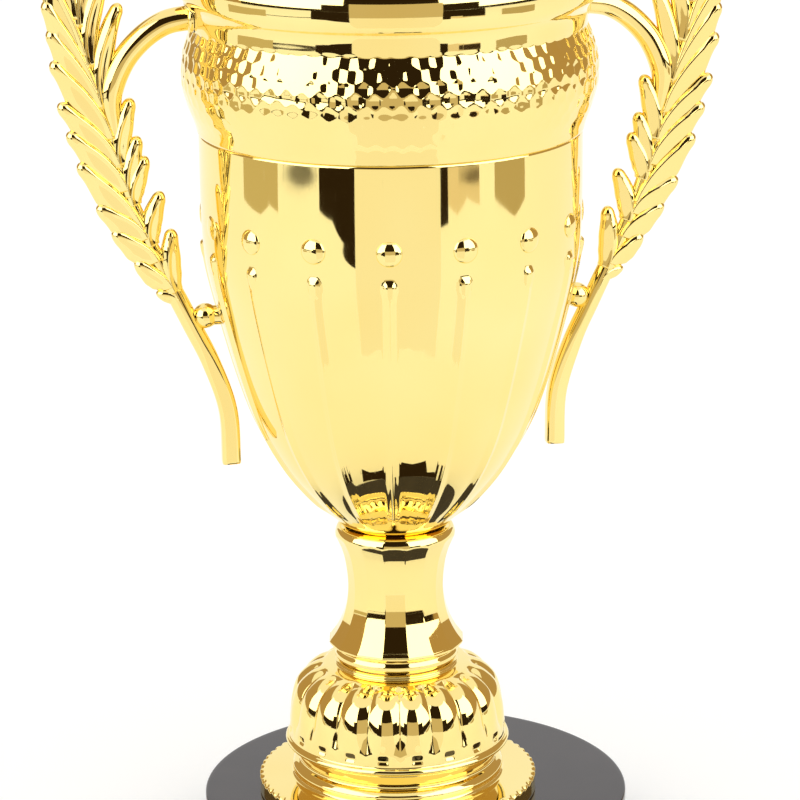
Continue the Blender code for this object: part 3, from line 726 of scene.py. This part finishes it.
def leaf_rings(tip, root_height, side, way, blade, thin, crest):
    """Rings of one leaf along its crest. way is 1 where the upper edge is on the path's left. blade is how
    far it reaches below the crest, thin how much thinner it gets there, crest how far it reaches above."""
    root = spine_at(root_height)
    ahead = spine_at(root_height + 1.0) - root
    tip = np.array(tip, float)
    length = np.linalg.norm(tip - root)
    bend = root + ahead / np.linalg.norm(ahead) * 0.42 * length
    near_tip = 1 - 0.20 * (1 - np.linspace(0, 1, 15)[1:]) ** 1.7
    t = np.concatenate([np.linspace(0, 0.80, 20), near_tip])[:, None]
    path = (1 - t) ** 2 * root + 2 * t * (1 - t) * bend + t ** 2 * tip
    t = t[:, 0]
    to_tip = (1 - t) * length
    close = np.sqrt(np.clip(1 - (1 - np.clip(to_tip / LEAF_TIP_RADIUS, 0, 1)) ** 2, 0.0004, 1))
    blade = min(blade, 0.38 * length)
    bulb = min(LEAF_TIP_RADIUS, 0.22 * length)
    full = step_up(to_tip, -1.0, 0.45 * length)
    below = (bulb + max(0.0, blade - bulb) * full) * (0.72 + 0.28 * step_up(t, 0.0, 0.35)) * close
    above = (crest + (bulb - crest) * (1 - step_up(to_tip, 1.5, 4.5))) * close
    round_tip = (1 - step_up(to_tip, 1.4, 5.0))[:, None]
    front = leaf_section()
    place = np.where(front < 0, front * below[:, None], front * above[:, None])
    edge = np.sqrt(np.clip(1 - np.abs(front) ** np.where(front < 0, 6.0, 2.2), 0, 1))
    slope = 1 - thin * np.abs(np.minimum(front, 0)) ** 1.3
    ball = np.sqrt(np.clip(1 - front ** 2, 0, 1))
    ridge = LEAF_RIDGE * np.exp(-(place / LEAF_RIDGE_WIDTH) ** 2) * (1 - round_tip)
    body = (1 - round_tip) * edge * slope * LEAF_HALF_THICKNESS + round_tip * ball * LEAF_TIP_THICKNESS
    height = (body + ridge * edge) * close[:, None]
    across = np.hstack([place, place[:, -2:0:-1]])
    depth = np.hstack([-height, height[:, -2:0:-1]])
    return placed(path, way * across, depth, side)


def add_leaf(skin, tip, root_height, side, way, blade=5.5, thin=0.60, crest=1.3):
    rings = leaf_rings(tip, root_height, side, way, blade, thin, crest)
    skin.add_loft(rings, flip=(side * way > 0))


def add_ball(skin, centre, radius, side):
    polar = np.linspace(0.03, math.pi - 0.03, 24)
    path = np.stack([centre[0] - radius * np.cos(polar), np.full(24, centre[1])], 1)
    skin.add_loft(rod_rings(path, radius * np.sin(polar), side, around=40), flip=side > 0)


def build_handle(name, side, material, node):
    """Spray of leaves on a curved spine, with an arm and a ball that meet the cup."""
    skin = Skin()
    cup = smooth(COLLAR_RIM, 1.0)[:-1] + smooth(COLLAR_BAND, 1.0)[:-1] + smooth(BOWL_CURVE, 1.0)
    spine = np.array(smooth(SPINE, 0.7))
    height = spine[:, 1]
    radius = SPINE_RADIUS - 0.5 * step_up(height, 132.0, 150.0) - 0.5 * step_up(height, 175.0, 222.0)
    power = 5.0 - 3.0 * step_up(height, 108.0, 124.0)
    flat = 1.0 - 0.25 * step_up(height, 128.0, 145.0)
    radius = radius * end_rounding(len(spine), True, True, 0.004)
    skin.add_loft(rod_rings(spine, radius, side, power, depth_share=flat), flip=side > 0)
    arm = np.array(smooth(ARM, 0.6))
    grown = step_up(np.linspace(0, 1, len(arm)), 0.0, 0.42)
    swell = ARM_START_RADIUS + (ARM_RADIUS - ARM_START_RADIUS) * grown
    skin.add_loft(kept_outside(rod_rings(arm, swell, side), cup), flip=side > 0)
    add_ball(skin, BALL_CENTRE, BALL_RADIUS, side)
    for reach, size, start, level in ((5.5, 2.5, 42.0, BALL_CENTRE[1]), (3.6, 3.7, 47.2, ARM[-1][1])):
        path = np.stack([np.linspace(start, start + reach, 14), np.full(14, level)], 1)
        boss = rod_rings(path, size * end_rounding(14, False, True, 0.3), side)
        skin.add_loft(kept_outside(boss, cup), flip=side > 0)
    for tip_x, tip_z, root in OUTER_LEAVES:
        add_leaf(skin, (tip_x, tip_z), root, side, 1)
    for tip_x, tip_z, root in INNER_LEAVES:
        add_leaf(skin, (tip_x, tip_z), root, side, -1, blade=3.4, thin=0.25, crest=1.9)
    add_leaf(skin, TOP_LEAF[:2], TOP_LEAF[2], side, 1, blade=3.0, thin=0.4)
    return finish_piece(skin.build(name), material, "gilt_plastic", node)


# ================================================================ fasteners
def thread(outline, azimuths):
    """Helical V-groove on the rod's shank."""
    pitch = 0.8
    phase = (outline[:, 1][:, None] / pitch - azimuths[None, :] / (2 * math.pi)) % 1.0
    return 0.42 * (np.abs(2 * phase - 1) - 1.0) * (outline[:, 0] > 2.0)[:, None]


def build_rod(material):
    low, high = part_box("tie_rod")
    top, bottom = high.z / MM - BASE, low.z / MM - BASE
    outline = [(0.05, top), (1.9, top), (2.42, top - 0.55), (2.42, bottom + 0.55), (1.9, bottom),
               (0.05, bottom)]
    piece = turned_piece("tie_rod_threaded", divided(outline, 0.16), 40, thread)
    return finish_piece(piece, material, "zinc_steel", "tie_rod")


def hex_nut(name, node, material):
    """Hexagon nut with chamfered corners."""
    low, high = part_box(node)
    top, bottom = high.z / MM - BASE, low.z / MM - BASE
    corner = (high.x - low.x) / 2 / MM
    azimuths = even_azimuths(96)
    heights = np.linspace(top, bottom, 24)
    flats = corner * facet_factor(azimuths, 6)[None, :]
    chamfer = corner * 0.90 + 1.8 * np.minimum(top - heights, heights - bottom)[:, None]
    outer = np.minimum(flats, chamfer)
    bore = np.full((2, len(azimuths)), ROD_HOLE)
    radius = np.vstack([outer, bore])
    height = np.concatenate([heights, [bottom, top]])[:, None] + 0 * radius
    skin = Skin()
    skin.add_grid(np.stack([radius * np.cos(azimuths), radius * np.sin(azimuths), height], -1))
    piece = skin.build(name)
    piece.data.set_sharp_from_angle(angle=math.radians(30))
    return finish_piece(piece, material, "zinc_steel", node)


def washer(name, node, hole, axis, material):
    """Flat washer with eased edges, along the axis (0 for X, 2 for Z)."""
    low, high = np.array(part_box(node)[0]) / MM, np.array(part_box(node)[1]) / MM
    low[2] -= BASE
    high[2] -= BASE
    centre = (low + high) / 2
    radius, half = (high[1] - low[1]) / 2, (high[axis] - low[axis]) / 2
    outline = divided(rounded([(hole, half), (radius, half), (radius, -half), (hole, -half)], 0.12), 0.6)
    grid = turned_grid(outline, even_azimuths(64))
    if axis == 0:
        grid = grid[..., [2, 1, 0]] * np.array([1, 1, -1])
    skin = Skin()
    skin.add_grid(grid + centre)
    return finish_piece(skin.build(name), material, "zinc_steel", node)


def cross_recess(points_radius, azimuths):
    """Depth of a cross-shaped driver recess in a screw head."""
    x, y = points_radius * np.cos(azimuths), points_radius * np.sin(azimuths)
    arm = np.minimum(np.abs(x), np.abs(y))
    reach = np.maximum(np.abs(x), np.abs(y))
    return 0.9 * (1 - step_up(arm, 0.22, 0.42)) * (1 - step_up(reach, 1.2, 1.9))


def screw(name, node, side, material):
    """Pan-head screw with a cross recess; its head is inside the cup and its shank runs outwards."""
    low, high = np.array(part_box(node)[0]) / MM, np.array(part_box(node)[1]) / MM
    level = (low[2] + high[2]) / 2 - BASE
    head = (low if side > 0 else high)[0]
    length = high[0] - low[0]
    outline = [(0.06, 0.0), (1.74, 0.15), (2.6, 0.65), (2.9, 1.3), (2.9, 1.8), (1.2, 1.8),
               (1.2, length - 1.5), (0.1, length)]
    outline = np.array(divided(outline, 0.16, False))
    azimuths = even_azimuths(48)
    radius = np.repeat(outline[:, :1], len(azimuths), 1)
    along = np.repeat(outline[:, 1:], len(azimuths), 1)
    face = (np.arange(len(outline)) < len(outline) // 3)[:, None] * (outline[:, 1:] < 0.8)
    along = along + cross_recess(radius, azimuths) * face
    ridge = (along[:, :1] > 2.4) * (along[:, :1] < length - 1.6)
    turns = (along / 0.9 - azimuths / (2 * math.pi)) % 1.0
    radius = radius - 0.25 * np.abs(2 * turns - 1) * ridge
    x = head + side * along
    grid = np.stack([x, radius * np.cos(azimuths), level + radius * np.sin(azimuths)], -1)
    skin = Skin()
    skin.add_grid(grid[:, ::-1] if side < 0 else grid)
    return finish_piece(skin.build(name), material, "zinc_steel", node)


# ================================================================ studio
def link(obj):
    bpy.context.scene.collection.objects.link(obj)
    return obj


def emission_material(name, colour, strength):
    """Even glow of one colour."""
    material = bpy.data.materials.new(name)
    material.use_nodes = True
    tree = material.node_tree
    tree.nodes.clear()
    glow = tree.nodes.new("ShaderNodeEmission")
    glow.inputs["Color"].default_value = (*colour, 1.0)
    glow.inputs["Strength"].default_value = strength
    output = tree.nodes.new("ShaderNodeOutputMaterial")
    tree.links.new(glow.outputs["Emission"], output.inputs["Surface"])
    return material


def reflect_only(obj):
    """The object is seen in reflections and nowhere else."""
    obj.visible_camera = False
    obj.visible_diffuse = False
    obj.visible_shadow = False
    obj.visible_transmission = False
    obj.visible_volume_scatter = False
    return obj


def direction(turn):
    """Horizontal direction at an angle in degrees to the right of the camera's side."""
    angle = VIEW_AZIMUTH + math.radians(turn)
    return math.sin(angle), -math.cos(angle)


def studio_card(name, turns, rises, radius, colour, strength=1.0):
    """Curved card round the trophy between two turns and two elevations, in degrees."""
    points, faces = [], []
    steps = 16
    for j, rise in enumerate(rises):
        for i in range(steps + 1):
            x, y = direction(turns[0] + (turns[1] - turns[0]) * i / steps)
            points.append((x * radius, y * radius, CARD_LEVEL + radius * math.tan(math.radians(rise))))
    for i in range(steps):
        faces.append((i, i + 1, steps + 2 + i, steps + 1 + i))
    mesh = bpy.data.meshes.new(name)
    mesh.from_pydata(points, [], faces)
    mesh.materials.append(emission_material(name, colour, strength))
    return reflect_only(link(bpy.data.objects.new(name, mesh)))


def ground_card(name, outline, colour, strength=1.0, height=0.0004):
    """Patch on the ground; the outline is a list of (turn in degrees, near edge, far edge in metres)."""
    points, faces = [], []
    for turn, near, far in outline:
        x, y = direction(turn)
        points += [(x * near, y * near, height), (x * far, y * far, height)]
    for i in range(0, len(points) - 2, 2):
        faces.append((i, i + 1, i + 3, i + 2))
    mesh = bpy.data.meshes.new(name)
    mesh.from_pydata(points, [], faces)
    mesh.materials.append(emission_material(name, colour, strength))
    return reflect_only(link(bpy.data.objects.new(name, mesh)))


def build_floor():
    mesh = bpy.data.meshes.new("floor")
    reach = 6.0
    mesh.from_pydata([(-reach, -reach, 0), (reach, -reach, 0), (reach, reach, 0), (-reach, reach, 0)], [],
                     [(0, 1, 2, 3)])
    material, tree, shader = new_material("floor_white")
    colour = ramp(tree, noise(tree, 3.0), [(0.0, (0.93, 0.93, 0.93)), (1.0, (0.95, 0.95, 0.95))])
    tree.links.new(colour, shader.inputs["Base Color"])
    shader.inputs["Roughness"].default_value = 0.8
    shader.inputs["Specular IOR Level"].default_value = 0.1
    shader.inputs["Emission Color"].default_value = (1.0, 1.0, 1.0, 1.0)
    shader.inputs["Emission Strength"].default_value = 0.10
    mesh.materials.append(material)
    link(bpy.data.objects.new("floor", mesh))


def build_room():
    """What stands round the table: a dark front between two soft lamps, and brown sides."""
    studio_card("room_front", (-27, 29), (-8, 54), ROOM_RADIUS, DARK, DARK_STRENGTH)
    studio_card("room_low", (-86, 86), (-8, 2), ROOM_RADIUS - 0.02, DARK, DARK_STRENGTH)
    studio_card("room_left", (-150, -86), (-8, 45), ROOM_RADIUS, BROWN)
    studio_card("room_right", (86, 150), (-8, 45), ROOM_RADIUS, BROWN)
    studio_card("sheet_rise", SHEET_TURNS, (-7, 10), SHEET_BEND + 0.01, TAN)
    studio_card("low_left", (-36, -23), (0.5, 6.6), LAMP_RADIUS - 0.02, DARK, DARK_STRENGTH)
    studio_card("low_right", (25, 48), (0.5, 6.6), LAMP_RADIUS - 0.02, DARK, DARK_STRENGTH)
    studio_card("softbox_left", (-87, -24), (1, 52), LAMP_RADIUS, WHITE, LAMP_STRENGTH)
    studio_card("softbox_right", (26, 87), (1, 52), LAMP_RADIUS, WHITE, LAMP_STRENGTH)


def build_ground_patches():
    """Dark gaps beside the table sheet, patches of darker floor and the shade round the plinth."""
    start, end = SHEET_TURNS
    far = GROUND_END
    ground_card("gap_left", [(-69, 0.93, 0.97), (-42, 0.92, 0.97), (-41.9, 0.83, far), (-38, 0.80, far),
                             (-34, 0.78, far), (-29, 0.66, far), (start, 0.58, far)], DARK, DARK_STRENGTH)
    ground_card("floor_left", [(-96, 0.84, 1.6), (-82, 0.78, 1.5), (-75, 0.83, 1.5), (-69, 0.80, 1.5)],
                (0.60, 0.50, 0.31))
    ground_card("gap_right", [(end, 0.74, far), (32.5, 0.76, far), (32.6, 1.0, far), (52, 1.0, far)],
                DARK, DARK_STRENGTH)
    ground_card("floor_right", [(32.5, 0.84, 1.0), (38, 0.80, 1.0), (44, 0.87, 1.0), (52, 0.84, 1.0)],
                (0.84, 0.72, 0.57))
    ground_card("shade_right", [(39, 0.915, 1.0), (52, 0.91, 1.0)], DARK, 0.8, 0.0006)
    ground_card("mat_right", [(62, 0.86, 1.5), (70, 0.80, 1.5), (76, 0.76, 1.5), (84, 0.84, 1.5)],
                (0.52, 0.42, 0.26))
    turns = (start, -10, 0, 10, 20, end)
    ground_card("sheet_far", [(turn, SHEET_BEND, far) for turn in turns], TAN)
    ground_card("sheet_near", [(turn, SHEET_START, SHEET_BEND) for turn in turns], (0.99, 0.96, 0.90))
    shade = [(-44, 0.058), (-38, 0.073), (-30, 0.067), (-15, 0.068), (-10, 0.080), (-6, 0.069), (-3, 0.060),
             (3, 0.060), (6, 0.080), (20, 0.077), (33, 0.084), (40, 0.068), (50, 0.071), (56, 0.058)]
    ground_card("shade_base", [(turn, 0.057, reach) for turn, reach in shade], DARK, DARK_STRENGTH)


def build_studio():
    world = bpy.data.worlds.new("studio")
    bpy.context.scene.world = world
    world.use_nodes = True
    world.node_tree.nodes["Background"].inputs["Color"].default_value = (1.0, 1.0, 1.0, 1.0)
    world.node_tree.nodes["Background"].inputs["Strength"].default_value = 1.0
    build_floor()
    build_room()
    build_ground_patches()
    light = bpy.data.lights.new("overhead", "AREA")
    light.shape = "RECTANGLE"
    light.size = 1.4
    light.size_y = 1.0
    light.energy = 1.0
    lamp = link(bpy.data.objects.new("overhead", light))
    lamp.location = (0.0, -0.1, 1.5)
    lamp.visible_glossy = False


def build_camera():
    """Camera at its measured distance, height, turn and roll, looking at the cup."""
    camera = bpy.data.cameras.new("camera")
    camera.lens = LENS
    camera.sensor_width = SENSOR
    holder = link(bpy.data.objects.new("camera", camera))
    x, y = direction(0)
    holder.location = (x * VIEW_DISTANCE * MM, y * VIEW_DISTANCE * MM, (VIEW_HEIGHT + BASE) * MM)
    turn = VIEW_AZIMUTH - VIEW_TURN
    forward = np.array([-math.sin(turn) * math.cos(VIEW_PITCH), math.cos(turn) * math.cos(VIEW_PITCH),
                        -math.sin(VIEW_PITCH)])
    right = np.array([math.cos(turn), math.sin(turn), 0.0])
    up = np.cross(right, forward)
    tilt_right = math.cos(VIEW_ROLL) * right - math.sin(VIEW_ROLL) * up
    tilt_up = math.sin(VIEW_ROLL) * right + math.cos(VIEW_ROLL) * up
    rows = np.stack([tilt_right, tilt_up, -forward], 1)
    place = np.eye(4)
    place[:3, :3] = rows
    place[:3, 3] = holder.location
    holder.matrix_world = Matrix(place.tolist())
    camera.clip_start = 0.02
    bpy.context.scene.camera = holder
    bpy.context.scene.view_settings.view_transform = "Standard"


# ================================================================ assembly
def dress_hidden_nodes(materials):
    """Procedural finishes for the CAD nodes that stay as they are."""
    finishes = {"ballast_ring": materials["iron"], "rod_nut_bottom": materials["zinc"],
                "rod_washer_bottom": materials["zinc"]}
    for node, material in finishes.items():
        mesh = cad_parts[node].data
        mesh.materials.clear()
        mesh.materials.append(material)


def main():
    materials = {"zinc": zinc(), "iron": cast_iron()}
    build_collar(gold("gold_collar", 0.00001))
    build_bowl(gold("gold_bowl", 0.00004))
    build_beads(gold("gold_beads", 0.000004))
    build_stem(gold("gold_stem", 0.000012))
    build_dome(gold("gold_dome", 0.000012))
    build_plate(gold("gold_plate", 0.000015))
    build_plinth(black_gloss(), foam())
    for name, side in (("handle_left", -1), ("handle_right", 1)):
        build_handle(name + "_spray", side, gold("gold_" + name, 0.000012, ROSY_GOLD), name)
    build_rod(materials["zinc"])
    hex_nut("top_nut", "rod_nut_top", materials["zinc"])
    washer("top_washer", "rod_washer_top", ROD_HOLE, 2, materials["zinc"])
    for side, word in ((-1, "left"), (1, "right")):
        for joint in ("upper", "lower"):
            washer(f"seat_washer_{word}_{joint}", f"screw_washer_{word}_{joint}", 1.5, 0, materials["zinc"])
            screw(f"pan_screw_{word}_{joint}", f"handle_screw_{word}_{joint}", side, materials["zinc"])
    dress_hidden_nodes(materials)
    build_studio()
    build_camera()


main()
